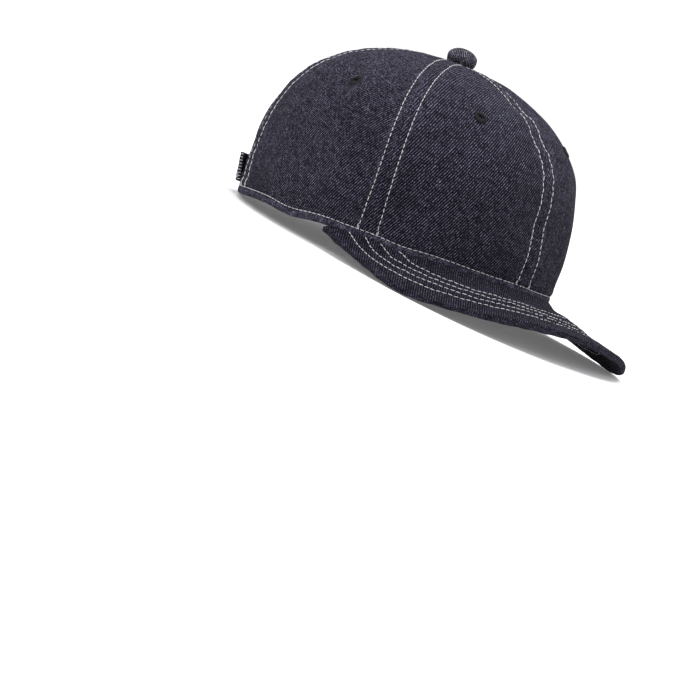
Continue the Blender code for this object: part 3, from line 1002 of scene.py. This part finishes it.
opening_turn = asin(OPENING_HALF_WIDTH / SIDE_REACH) + 0.075
rim_turns = np.linspace(-pi + opening_turn, pi - opening_turn, RIM_ROW_POINTS)
rim_row = sewn_point(np.full(RIM_ROW_POINTS, rise_at(HEM_ROW)), rim_turns, ROW_LIFT)[:2]
stitch_rows("rim_stitching", [rim_row], 102, pitch=0.0031)

# %% [markdown]
# ## Seam allowances inside
# Each seam's two allowances are pressed open inside the crown, where their dark face
# shows, and the rows beside the seam hold them. One strip along each seam stands for
# both. It narrows towards the top, where the panels come together.

# %% Strips along the seams
STRIP_ROWS, STRIP_COLUMNS = 90, 15

for number, seam in enumerate(SEAMS):
    low = rise_at(OPENING_HEIGHT + 0.0010 if number == BACK_SEAM else HEM_LEG + 0.0006)
    rises = np.linspace(low, float(top_rise(np.array(seam))) - 0.03, STRIP_ROWS)
    speed = turn_speed(rises, seam)
    half = np.minimum(ALLOWANCE, 0.4 * speed) / speed
    turns = seam + np.linspace(1, -1, STRIP_COLUMNS)[None] * half[:, None]
    rises = np.broadcast_to(rises[:, None], turns.shape)
    points, _, _ = sewn_point(rises, turns, -CLOTH - 0.00005)
    width, length, area = flat_size(points)
    across = np.linspace(-width / 2, width / 2, STRIP_COLUMNS)[None]
    along = np.linspace(0, length, STRIP_ROWS)[:, None]
    uv = np.stack(np.broadcast_arrays(across, along), -1)
    strip = cloth_grid(
        f"seam_allowance_{number + 1}", points, uv, np.full(turns.shape, 0.1), denim)
    give_thickness(strip, ALLOWANCE_CLOTH)
    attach(strip, "root")
    print(strip.name, round(width, 4), round(length, 4))

# %% [markdown]
# ## The brim
# A brim is a plastic board wrapped in cloth. It is one closed form: the upper face runs
# out from under the crown to a rounded edge and back below. Rows of stitches through
# the board draw the cloth down, and the cloth between them stays a little fuller.

# %% Shape of the brim
BRIM_WIDTH = 0.0585
BRIM_DROP = 0.0175
BRIM_CORNER = 82.0
BRIM_THICKNESS = 0.0038
BRIM_TUCK = 0.0024
BRIM_SLOPE = 1.15
BRIM_CLEARANCE = 0.0003
BRIM_CURL = 0.0019
#    share of the corner's angle, share of the width, share of the drop
BRIM_SECTIONS = (
    (0.000, 1.000, 0.69), (0.183, 1.010, 0.77), (0.366, 0.915, 0.95), (0.549, 0.660, 1.00),
    (0.695, 0.400, 0.66), (0.793, 0.250, 0.39), (0.878, 0.128, 0.20), (0.951, 0.040, 0.06),
    (1.000, 0.000, 0.00))
BRIM_ROWS, BRIM_ROW_GAP, BRIM_ROW_DEPTH = 4, 0.0070, 0.00045
EDGE_SEAM_PLACE, EDGE_SEAM_DEPTH = 1.15, 0.00045
BRIM_GRAIN = 15.0
#    turn   lift   spread in degrees
BRIM_BENDS = ((13, 0.0030, 20), (-30, -0.0040, 10), (-56, 0.0016, 13))
#    turn   out from the rim
BRIM_FIRST_ROW = (
    (0, 0.0390), (14, 0.0395), (24, 0.0400), (31, 0.0380), (36, 0.0352), (41, 0.0312),
    (46, 0.0260), (52, 0.0202), (57, 0.0150), (61, 0.0102), (65, 0.0050), (69.5, 0.0))


def section_value(column, share):
    """Value of a section's column at a share of the corner angle, on a smooth curve."""
    table = BRIM_SECTIONS
    i = max(k for k in range(len(table) - 1) if table[k][0] <= share or k == 0)

    def slope(k):
        if k == 0:
            return 0.0
        below, above = table[k - 1], table[min(k + 1, len(table) - 1)]
        return (above[column] - below[column]) / (above[0] - below[0])

    span = table[i + 1][0] - table[i][0]
    t = (share - table[i][0]) / span
    return ((2 * t**3 - 3 * t**2 + 1) * table[i][column] + (t**3 - 2 * t**2 + t) * span * slope(i)
            + (3 * t**2 - 2 * t**3) * table[i + 1][column] + (t**3 - t**2) * span * slope(i + 1))


def brim_measures(turn):
    """Width and drop of the brim at each turn."""
    shares = np.abs(turn) / radians(BRIM_CORNER)
    width, drop = (
        np.array([section_value(column, s) for s in shares.ravel()]).reshape(shares.shape)
        for column in (1, 2))
    return BRIM_WIDTH * width, BRIM_DROP * drop


def brim_top(turn, out):
    """Point of the brim's smooth upper face, out metres from the rim."""
    width, drop = brim_measures(turn)
    step = 0.002
    along = crown_point(0.0, turn + step) - crown_point(0.0, turn - step)
    away = unit(np.stack([-along[..., 1], along[..., 0], 0 * turn], -1))
    past = np.maximum(out, 0) / np.maximum(width, BRIM_CLEARANCE)
    point = crown_point(0.0, turn) + away * out[..., None]
    sag = rim_drop(turn) * 0.8 * np.exp(-((np.maximum(out, 0) / 0.014) ** 2))
    meet = BRIM_CURL * smooth_step(0.0062, 0.0006, out) * smooth_step(0.0, 0.012, width)
    bend = sum(lift * hump(np.degrees(turn), centre, spread)
               for centre, lift, spread in BRIM_BENDS) * np.minimum(past, 1) ** 3
    point[..., 2] = -BRIM_CLEARANCE - drop * past**BRIM_SLOPE - sag + meet + bend
    return point


def brim_axes(turn, out):
    """Outward direction over the face and the normal of the upper face."""
    t, o = 0.004, 0.0006
    across = unit(brim_top(turn, out + o) - brim_top(turn, np.maximum(out - o, -BRIM_TUCK)))
    along = brim_top(turn - t, out) - brim_top(turn + t, out)
    normal = unit(np.cross(across, along))
    return across, normal * np.sign(normal[..., 2:])


def brim_row(number, turn):
    """Distance of a stitch row from the rim at each turn."""
    turns, outs = zip(*BRIM_FIRST_ROW)
    return np.interp(np.abs(np.degrees(turn)), turns, outs) - number * BRIM_ROW_GAP


def quilting(turn, out):
    """Relief of the padded cover: drawn in at the rows, fuller between them."""
    height = 0 * out
    for number in range(BRIM_ROWS):
        height = height - BRIM_ROW_DEPTH * hump(out, brim_row(number, turn), 0.0009)
    round_rim = turn * 0.11
    height = height + 0.00014 * ripples(round_rim, out, 0.011, 41)
    height = height + 0.00025 * ripples(round_rim, out, 0.035, 42)
    near_rows = hump(out, brim_row(1.5, turn), 0.014)
    return height + 0.00010 * near_rows * ripples(round_rim * 1.6, out * 0.5, 0.005, 43)


corner_turn = np.array([radians(BRIM_CORNER) * 0.5])
print("brim width at the front and half way round",
      [np.round(brim_measures(t)[0], 4).tolist() for t in (0 * corner_turn, corner_turn)])

# %% Build the brim
BRIM_COLUMNS, BRIM_FACE_ROWS, BRIM_EDGE_ROWS = 232, 66, 20
EDGE_WEAR = 0.08


def brim_section(turn):
    """Closed section, from the tucked edge over the top, round the edge and back."""
    width, _ = brim_measures(turn)
    half = BRIM_THICKNESS / 2
    last = np.maximum(width - half, -BRIM_TUCK + 0.0012)
    shares = np.linspace(0, 1, BRIM_FACE_ROWS)
    outs = -BRIM_TUCK + (last + BRIM_TUCK)[None] * shares[:, None]
    turns = np.broadcast_to(turn, outs.shape)
    across, normal = brim_axes(turns, outs)
    over = brim_top(turns, outs)
    puff = quilting(turns, outs)[..., None]
    upper = over + normal * puff
    lower = over - normal * (BRIM_THICKNESS + puff * 0.8)
    centre = over[-1] - normal[-1] * half
    ring = []
    for k in range(1, BRIM_EDGE_ROWS):
        angle = pi * k / BRIM_EDGE_ROWS
        crimp = 1 + 0.03 * ripples(turn * 0.11, angle * 0.002, 0.006, 44)
        crimp = crimp - EDGE_SEAM_DEPTH / half * hump(angle, EDGE_SEAM_PLACE, 0.20)
        bulge = half * crimp[:, None]
        ring.append(centre + across[-1] * bulge * sin(angle) + normal[-1] * bulge * cos(angle)
                    + normal[-1] * puff[-1] * cos(angle))
    return np.concatenate([upper, np.array(ring), lower[::-1], upper[:1]])


section = brim_section(
    np.linspace(-1, 1, BRIM_COLUMNS) * radians(BRIM_CORNER) * BRIM_SECTIONS[-2][0])
grain = radians(BRIM_GRAIN)
brim_uv = np.stack([-section[..., 0] * cos(grain) + section[..., 1] * sin(grain),
                    -section[..., 1] * cos(grain) - section[..., 0] * sin(grain)], -1)
last_row = BRIM_FACE_ROWS - 1
turning = running_length(section)
turning = turning - turning[last_row]
outward_flat = unit(brim_uv[last_row] - brim_uv[last_row - 5])
for k in range(BRIM_FACE_ROWS, BRIM_FACE_ROWS + BRIM_EDGE_ROWS):
    brim_uv[k] = brim_uv[last_row] + outward_flat * turning[k][:, None]
brim_wear = np.zeros(section.shape[:2])
brim_wear[last_row - 1:BRIM_FACE_ROWS + BRIM_EDGE_ROWS] = EDGE_WEAR
brim = cloth_grid("brim_cover", section, brim_uv, brim_wear, denim_brim_shaded)
face_outwards(brim, folded=True)
brim.data.shade_smooth()
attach(brim, "root")
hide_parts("brim")
print("brim faces", len(brim.data.polygons))

# %% [markdown]
# ## Rows on the brim
# Four rows hold cloth and board together, and each goes right through, so it shows on
# both faces. The outer row follows the brim's edge and the others lie a fixed distance
# further in, which is how such rows are sewn, against a guide.

# %% Stitches on both faces of the brim
rows = []
for number in range(BRIM_ROWS):
    turns = np.linspace(-1, 1, 1400) * radians(BRIM_CORNER * 0.94)
    outs = brim_row(number, turns)
    seen = outs > 0.0004
    turns, outs = turns[seen], outs[seen]
    _, normal = brim_axes(turns, outs)
    base = brim_top(turns, outs)
    puff = quilting(turns, outs)[:, None]
    rows.append((base + normal * (puff + 0.0001), normal))
    rows.append((base - normal * (BRIM_THICKNESS + puff * 0.8 + 0.0001), -normal))
stitch_rows("brim_stitching", rows, 103)

# %% [markdown]
# ## Eyelets
# A sewn eyelet is a hole bound with dense radial stitches in dark thread. A torus is
# flattened to the ring's height, and its surface is ribbed once for every stitch.

# %% Eyelets
EYELET_OUTER, EYELET_INNER, EYELET_HALF_HEIGHT = 0.00375, 0.0010, 0.00105
EYELET_SINK = 0.0005
EYELET_RIBS, RIB_HEIGHT, RIB_REACH = 34, 0.00012, 0.00008


def build_eyelet(name, turn, height, seed):
    middle, tube = (EYELET_OUTER + EYELET_INNER) / 2, (EYELET_OUTER - EYELET_INNER) / 2
    deselect()
    bpy.ops.mesh.primitive_torus_add(
        major_segments=EYELET_RIBS * 4, minor_segments=16, major_radius=middle, minor_radius=tube)
    ring = name_piece(bpy.context.object, name, dark_thread)
    mesh = ring.data
    x, y, z = vertex_places(mesh).T
    angle, radius = np.arctan2(y, x), np.hypot(x, y)
    ragged = np.random.default_rng(seed).normal(0, 0.00012, EYELET_RIBS)
    rib = np.sin(angle * EYELET_RIBS)
    number = (np.floor(angle / tau * EYELET_RIBS).astype(int)) % EYELET_RIBS
    outer = np.clip((radius - middle) / tube, 0, 1)
    radius = radius + outer * (ragged[number] + RIB_REACH * rib)
    lift = z / tube * (EYELET_HALF_HEIGHT + RIB_HEIGHT * rib * (1 - outer * 0.5))
    rise = rise_at(height)
    around, up, out = crown_axes(rise, turn)
    move_vertices(mesh, crown_point(rise, turn) - out * EYELET_SINK + lift[:, None] * out
                  + (radius * np.cos(angle))[:, None] * around
                  + (radius * np.sin(angle))[:, None] * up)
    set_uv(mesh, np.stack([angle / tau * EYELET_RIBS * 0.5, radius * 0], -1))
    face_outwards(ring)
    mesh.shade_smooth()
    return ring


for i, part in enumerate(PANELS):
    for side, word in SIDES:
        name = f"eyelet_{part}_{word}"
        turn, height = EYELETS[i]
        ring = build_eyelet(name + "_sewn", radians(turn) * side, height, 50 + i * 2 + (side > 0))
        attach(ring, "root")
        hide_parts(name)
        print(ring.name, "faces", len(ring.data.polygons))

# %% [markdown]
# ## The covered button
# A metal button is wrapped in the same denim and riveted where the six tips meet. It
# starts as a sphere, whose rings are moved onto the button's section: a dome, a wall
# that tucks in, a flat base and a short shank. The cover's UV map is measured outwards
# from the pole, so the twill runs straight over the dome.

# %% Button
BUTTON_HEIGHT = 0.0090
BUTTON_SHANK = 0.0030
BUTTON_WALL = 0.35
BUTTON_GATHERS = 0.00012
SEAT = CROWN_HEIGHT - 0.0004
BUTTON_FOOT = SEAT + 0.0007


def button_section():
    """Radius and height of each ring, from the pole down to the end of the shank."""
    dome = [(BUTTON_RADIUS * sin(a) ** 0.92,
             BUTTON_FOOT + BUTTON_HEIGHT * (BUTTON_WALL + (1 - BUTTON_WALL) * cos(a)))
            for a in np.linspace(0, pi / 2, 30)[1:]]
    wall = [(BUTTON_RADIUS * (1 - 0.09 * t**2), BUTTON_FOOT + BUTTON_HEIGHT * BUTTON_WALL * (1 - t))
            for t in np.linspace(0, 1, 9)[1:]]
    shank = TOP_HOLE - 0.0003
    base = [(BUTTON_RADIUS * 0.84, SEAT - 0.0001), (shank, SEAT), (shank, SEAT - BUTTON_SHANK)]
    ends = [(0.0, BUTTON_FOOT + BUTTON_HEIGHT)], [(0.0, SEAT - BUTTON_SHANK)]
    return np.array(ends[0] + dome + wall + base + ends[1])


section = button_section()
rings = len(section) - 1
deselect()
bpy.ops.mesh.primitive_uv_sphere_add(segments=72, ring_count=rings, radius=1.0)
button = name_piece(bpy.context.object, "top_button_cover", denim_button)
mesh = button.data
x, y, z = vertex_places(mesh).T
ring_number = np.rint(np.arccos(np.clip(z, -1, 1)) / pi * rings).astype(int)
angle = np.arctan2(y, x)
radius, height = section[ring_number].T
cover_length = running_length(section)[ring_number]
gather = smooth_step(0.6, 1.0, radius / BUTTON_RADIUS) * (ring_number > 18) * (ring_number < 40)
gather = gather * ripples(angle * BUTTON_RADIUS, height, 0.0042, 61) * (radius > 0.004)
radius = radius + BUTTON_GATHERS * gather
move_vertices(mesh, np.stack([radius * np.cos(angle), radius * np.sin(angle), height], -1))
set_uv(mesh, np.stack([cover_length * np.cos(angle), cover_length * np.sin(angle)], -1))
set_wear_and_shading(mesh, 0.5 * smooth_step(0.5, 1.0, radius / BUTTON_RADIUS) * (ring_number < 34))
mesh.shade_smooth()
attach(button, "root")
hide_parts("top_button")
print("button faces", len(mesh.polygons))

# %% [markdown]
# ## Back opening
# The half-moon opening is bound with a folded denim tape, sewn with two rows. The tape
# follows an ellipse on the crown, and its section is an outer leg, a fold and an inner
# leg. A curve with a profile could follow the edge too, but a grid carries the UV map
# that the twill needs.

# %% Binding of the opening
BINDING_WIDTH = 0.0085
BINDING_LIFT, BINDING_INNER_LIFT = 0.0012, -0.0024
BINDING_CLOTH = 0.0008
BINDING_COLUMNS = 150
BINDING_ROWS = (0.0014, 0.0071)


def opening_line(share, grow):
    """Rise and turn on the crown of an ellipse round the opening, grown outwards."""
    angle = pi * share
    height = (OPENING_HEIGHT + grow) * np.sin(angle)
    across = (OPENING_HALF_WIDTH + grow) * np.cos(angle)
    rise = np.arcsin(np.clip(height / CROWN_HEIGHT, 0, 1))
    turn = pi - np.arcsin(np.clip(across / reach("side", rise), -1, 1))
    return rise, turn


def build_binding():
    """Tape folded over the edge: outer leg, fold and inner leg."""
    shares = np.linspace(0.004, 0.996, BINDING_COLUMNS)
    section = [(width, BINDING_LIFT - 0.0005 * hump(width, BINDING_WIDTH, 0.0007))
               for width in BINDING_WIDTH * np.linspace(1, 0, 12)]
    section += [(-0.0016 * sin(a), -0.0006 + (BINDING_LIFT + 0.0006) * cos(a))
                for a in np.linspace(0, pi, 9)[1:-1]]
    section += [(BINDING_WIDTH * 0.9 * t, BINDING_INNER_LIFT) for t in np.linspace(0, 1, 10)]
    points, uv = [], []
    for (grow, lift), run in zip(section, running_length(np.array(section))):
        rise, turn = opening_line(shares, grow)
        _, _, out = crown_axes(rise, turn)
        dent = 0.0004 * sum(hump(grow, row, 0.0005) for row in BINDING_ROWS) * (lift > 0)
        wave = 0.00016 * ripples(shares * 0.15, np.full_like(shares, grow), 0.006, 71)
        points.append(crown_point(rise, turn) + out * (lift - dent + wave)[:, None])
        uv.append(np.stack([shares * 0.135, np.full_like(shares, run)], -1))
    points, uv = np.array(points), np.array(uv)
    wear_and_shading = np.zeros(points.shape[:2])
    wear_and_shading[11:20] = 0.45
    wear_and_shading[:1] = 0.4
    return cloth_grid("opening_binding", points, uv, wear_and_shading, denim, denim_reverse)


binding = build_binding()
give_thickness(binding, BINDING_CLOTH)
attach(binding, "root")
print("binding faces", len(binding.data.polygons))

rows = []
for grow in BINDING_ROWS:
    rise, turn = opening_line(np.linspace(0.02, 0.98, 400), grow)
    _, _, out = crown_axes(rise, turn)
    rows.append((crown_point(rise, turn) + out * (BINDING_LIFT - 0.0002), out))
stitch_rows("binding_stitching", rows, 104, pitch=0.0030)

# %% [markdown]
# ## Strap
# The strap is a folded band of two layers with a row along each edge. One end is sewn
# down on the wearer's left. The other is free and overcast, and stands off the crown a
# little. The band's section is closed, so it is a grid rolled up and welded.

# %% Strap
STRAP_BOTTOM, STRAP_WIDTH, STRAP_THICKNESS = 0.0066, 0.0160, 0.0023
STRAP_FREE_END, STRAP_SEWN_END = radians(143.4), radians(217.0)
STRAP_LIFT = 0.0003
STRAP_COLUMNS = 110
STRAP_ROWS = (0.13, 0.87)
OVER_BINDING = 0.0013
OVERCAST_COUNT = 9


def strap_surface(turn, height_share, depth):
    """Point at a depth through the strap, from 0 inside to 1 outside. The free end
    stands off the crown, and the strap rises where it crosses the binding."""
    rise = np.arcsin((STRAP_BOTTOM + STRAP_WIDTH * height_share) / CROWN_HEIGHT)
    base = crown_point(rise, turn)
    _, _, out = crown_axes(rise, turn)
    free = smooth_step(radians(152.0), STRAP_FREE_END, turn) * (-0.0003 + 0.0020 * height_share)
    lift = STRAP_LIFT + free + STRAP_THICKNESS * depth
    past_binding = np.abs(np.abs(base[..., 0]) - OPENING_HALF_WIDTH - 0.004) - 0.004
    crossing = OVER_BINDING * (1 - smooth_step(0.0, 0.0030, past_binding))
    return base + out * (lift + crossing)[..., None], out


def build_strap():
    """Closed band with the section of a rounded rectangle."""
    turns = np.linspace(STRAP_SEWN_END, STRAP_FREE_END, STRAP_COLUMNS)
    section = [(t, 1.0 - 0.12 * sum(hump(t, row, 0.03) for row in STRAP_ROWS))
               for t in np.linspace(0.04, 0.96, 22)]
    section += [(0.985, 0.93), (1.0, 0.75), (1.0, 0.56), (0.992, 0.5), (1.0, 0.44), (1.0, 0.25),
                (0.985, 0.07)]
    section += [(t, 0.0) for t in np.linspace(0.96, 0.04, 10)]
    section += [(0.015, 0.07), (0.0, 0.25), (0.0, 0.75), (0.015, 0.93), section[0]]
    runs = running_length(np.array(section) * (STRAP_WIDTH, STRAP_THICKNESS))
    points, uv = [], []
    for (share, depth), run in zip(section, runs):
        wave = 0.02 * ripples(turns * 0.09, np.full_like(turns, share * 0.016), 0.008, 81)
        points.append(strap_surface(turns, np.full_like(turns, share), depth + wave)[0])
        uv.append(np.stack([-turns * 0.093, np.full_like(turns, run)], -1))
    points, uv = np.array(points), np.array(uv)
    wear_and_shading = np.zeros(points.shape[:2])
    wear_and_shading[20:31] = 0.4
    wear_and_shading[-5:] = 0.4
    wear_and_shading[:, -2:] = 1.0
    return cloth_grid("back_strap_band", points, uv, wear_and_shading, denim)


strap = build_strap()
face_outwards(strap, folded=True)
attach(strap, "root")
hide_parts("back_strap")
print("strap faces", len(strap.data.polygons))

# %% [markdown]
# ## Stitches of the strap
# A row runs along each edge, cross rows tack the ends, and the free end is overcast, so
# its stitches run through the strap's depth. The surface function of the strap gives
# all these places, as the relief does on the crown.

# %% Stitches of the strap
turns = np.linspace(STRAP_SEWN_END - 0.02, STRAP_FREE_END + 0.02, 400)
rows = [strap_surface(turns, np.full_like(turns, share), 0.93) for share in STRAP_ROWS]
shares = np.linspace(*STRAP_ROWS, 40)
for turn in (STRAP_FREE_END + 0.022, STRAP_SEWN_END - 0.022, STRAP_SEWN_END - 0.075):
    rows.append(strap_surface(np.full_like(shares, turn), shares, 1.0))
stitch_rows("strap_stitching", rows, 105, pitch=0.0030)

depths = np.linspace(0.14, 0.86, 5)
ends = np.full_like(depths, STRAP_FREE_END)
around, _, _ = crown_axes(np.full_like(depths, 0.15), ends)
rows = [(strap_surface(ends, np.full_like(depths, share), depths)[0], -around)
        for share in np.linspace(0.07, 0.93, OVERCAST_COUNT)]
stitch_rows("strap_end_stitching", rows, 106, pitch=0.0030, length=0.0019)

# %% [markdown]
# ## Slide
# A plain wire loop holds the strap. A beveled curve would do, but a torus has even faces
# along the wire from the start. Its round is drawn out to a rounded rectangle, a little
# larger than the strap's section.

# %% Slide
SLIDE_TURN = radians(166.0)
SLIDE_WIRE = 0.0018
SLIDE_ROOM = 0.0009
SLIDE_SQUARENESS = 5.0
TUBE = 0.1


def build_slide():
    """Wire loop round the strap: a torus drawn out to a rounded rectangle."""
    deselect()
    bpy.ops.mesh.primitive_torus_add(
        major_segments=96, minor_segments=16, major_radius=1.0, minor_radius=TUBE)
    loop = name_piece(bpy.context.object, "strap_slide_loop", wire_metal)
    mesh = loop.data
    x, y, z = vertex_places(mesh).T
    angle = np.arctan2(y, x)
    off, side = ((np.hypot(x, y) - 1.0) / TUBE), z / TUBE
    room = SLIDE_WIRE / 2 + SLIDE_ROOM
    tall, deep = STRAP_WIDTH / 2 + room, STRAP_THICKNESS / 2 + room
    power = SLIDE_SQUARENESS
    shape = (np.abs(np.cos(angle)) ** power + np.abs(np.sin(angle)) ** power) ** (-1 / power)
    a, b = tall * shape * np.cos(angle), deep * shape * np.sin(angle)
    away = unit(np.stack([np.cos(angle) / tall, np.sin(angle) / deep], -1))
    a, b = a + away[:, 0] * off * SLIDE_WIRE / 2, b + away[:, 1] * off * SLIDE_WIRE / 2
    centre, out = strap_surface(np.array(SLIDE_TURN), np.array(0.5), 0.5)
    around, up, _ = crown_axes(rise_at(STRAP_BOTTOM + STRAP_WIDTH / 2), SLIDE_TURN)
    move_vertices(mesh, centre + a[:, None] * up + b[:, None] * out
                  + (side * SLIDE_WIRE / 2)[:, None] * around)
    face_outwards(loop)
    mesh.shade_smooth()
    return loop


slide = build_slide()
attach(slide, "root")
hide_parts("strap_slide")
print("slide faces", len(slide.data.polygons))
